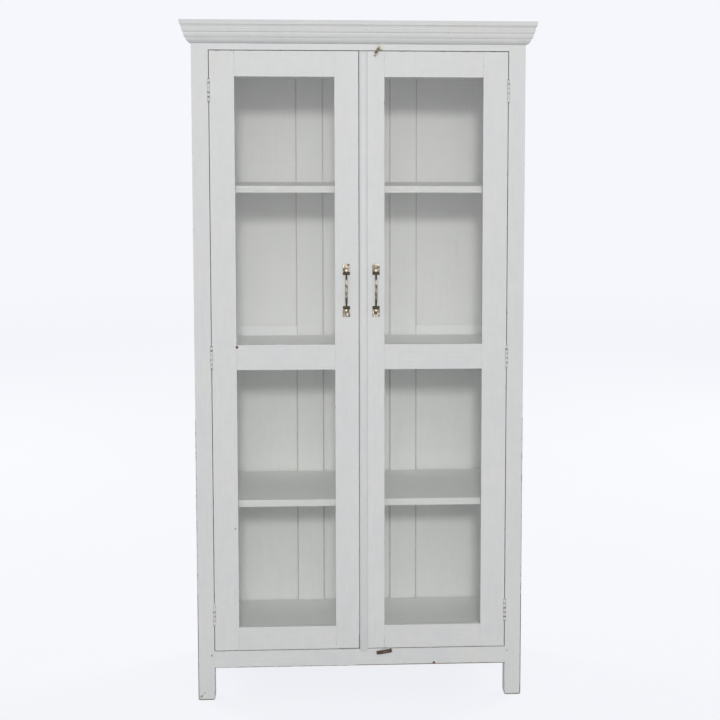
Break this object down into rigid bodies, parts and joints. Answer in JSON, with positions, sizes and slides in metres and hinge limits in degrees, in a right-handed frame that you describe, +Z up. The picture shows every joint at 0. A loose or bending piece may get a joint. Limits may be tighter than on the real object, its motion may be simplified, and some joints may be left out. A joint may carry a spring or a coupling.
{
  "type": "curio cabinet",
  "caption": "Tall painted wooden display cabinet with a stepped cornice, paired glazed doors, inner shelves, bow pulls, a hook latch and a turn button.",
  "frame": {"origin": "centre of the footprint of the whole object, cornice included, on the floor", "axes": "+Z up; the doors face -Y and the back is towards +Y; +X is to the right of a person who faces the doors"},
  "size_m": [0.974, 0.487, 1.9],
  "materials": {
    "painted_frame": "old white oil paint, hand brushed, worn to bare brown wood on the feet and lower edges",
    "painted_panel": "old white oil paint, satin",
    "painted_shelf": "old white oil paint, satin",
    "painted_cornice": "old white oil paint, satin, softened mouldings",
    "painted_door": "old white oil paint, hand brushed, worn edges",
    "painted_hinge": "steel butt hinges painted over with the woodwork, chipped at the knuckles",
    "steel_screws": "dull countersunk screws",
    "aged_brass": "aged brass with a dull patina",
    "hook_brass": "aged brass, tarnished dark in the grooves",
    "dark_wood": "dark stained hardwood, worn",
    "peg_wood": "end grain of a wooden peg, paint thin over it",
    "glass": "thin old window glass, slightly hazy"
  },
  "bodies": {
    "carcass": {"front_left_post": "painted_frame", "front_right_post": "painted_frame", "back_left_post": "painted_frame", "back_right_post": "painted_frame", "front_top_rail": "painted_frame", "front_bottom_rail": "painted_frame", "head_stop": "painted_frame", "left_top_rail": "painted_frame", "left_middle_rail": "painted_frame", "left_bottom_rail": "painted_frame", "right_top_rail": "painted_frame", "right_middle_rail": "painted_frame", "right_bottom_rail": "painted_frame", "side_panels": "painted_panel", "back_top_rail": "painted_frame", "back_bottom_rail": "painted_frame", "back_middle_rails": "painted_frame", "back_left_muntin": "painted_frame", "back_right_muntin": "painted_frame", "back_panels": "painted_panel", "top_board": "painted_frame", "floor_board": "painted_shelf", "shelf_lower": "painted_shelf", "shelf_middle": "painted_shelf", "shelf_upper": "painted_shelf", "shelf_cleats": "painted_shelf", "cornice_front": "painted_cornice", "cornice_left": "painted_cornice", "cornice_right": "painted_cornice", "joint_pegs": "peg_wood", "frame_hinge_leaves": "painted_hinge", "frame_hinge_screws": "steel_screws", "latch_pin": "hook_brass", "button_screw": "steel_screws"},
    "left_door": {"left_hinge_stile": "painted_door", "left_meeting_stile": "painted_door", "left_door_top_rail": "painted_door", "left_door_middle_rail": "painted_door", "left_door_bottom_rail": "painted_door", "left_upper_glass": "glass", "left_lower_glass": "glass", "left_glazing_beads": "painted_door", "left_hinge_leaves": "painted_hinge", "left_door_screws": "steel_screws", "left_handle": "aged_brass"},
    "right_door": {"right_hinge_stile": "painted_door", "right_meeting_stile": "painted_door", "right_door_top_rail": "painted_door", "right_door_middle_rail": "painted_door", "right_door_bottom_rail": "painted_door", "right_upper_glass": "glass", "right_lower_glass": "glass", "right_glazing_beads": "painted_door", "right_hinge_leaves": "painted_hinge", "right_door_screws": "steel_screws", "right_handle": "aged_brass", "astragal": "painted_door", "hook_pivot": "hook_brass"},
    "hook": {"door_hook": "hook_brass"},
    "button": {"turn_button": "dark_wood"}
  },
  "joints": [
    {"name": "left_door_hinge", "type": "hinge", "parent": "carcass", "child": "left_door", "pos_m": [-0.41, -0.2175, 0.978], "axis": [0, 0, -1], "range_deg": [0, 165]},
    {"name": "right_door_hinge", "type": "hinge", "parent": "carcass", "child": "right_door", "pos_m": [0.41, -0.2175, 0.978], "axis": [0, 0, 1], "range_deg": [0, 165]},
    {"name": "hook_pivot", "type": "hinge", "parent": "right_door", "child": "hook", "pos_m": [0.0435, -0.2225, 1.811], "axis": [0, 1, 0], "range_deg": [0, 110]},
    {"name": "button_pivot", "type": "hinge", "parent": "carcass", "child": "button", "pos_m": [0.0675, -0.2171, 0.1337], "axis": [0, 1, 0], "continuous": true}
  ]
}
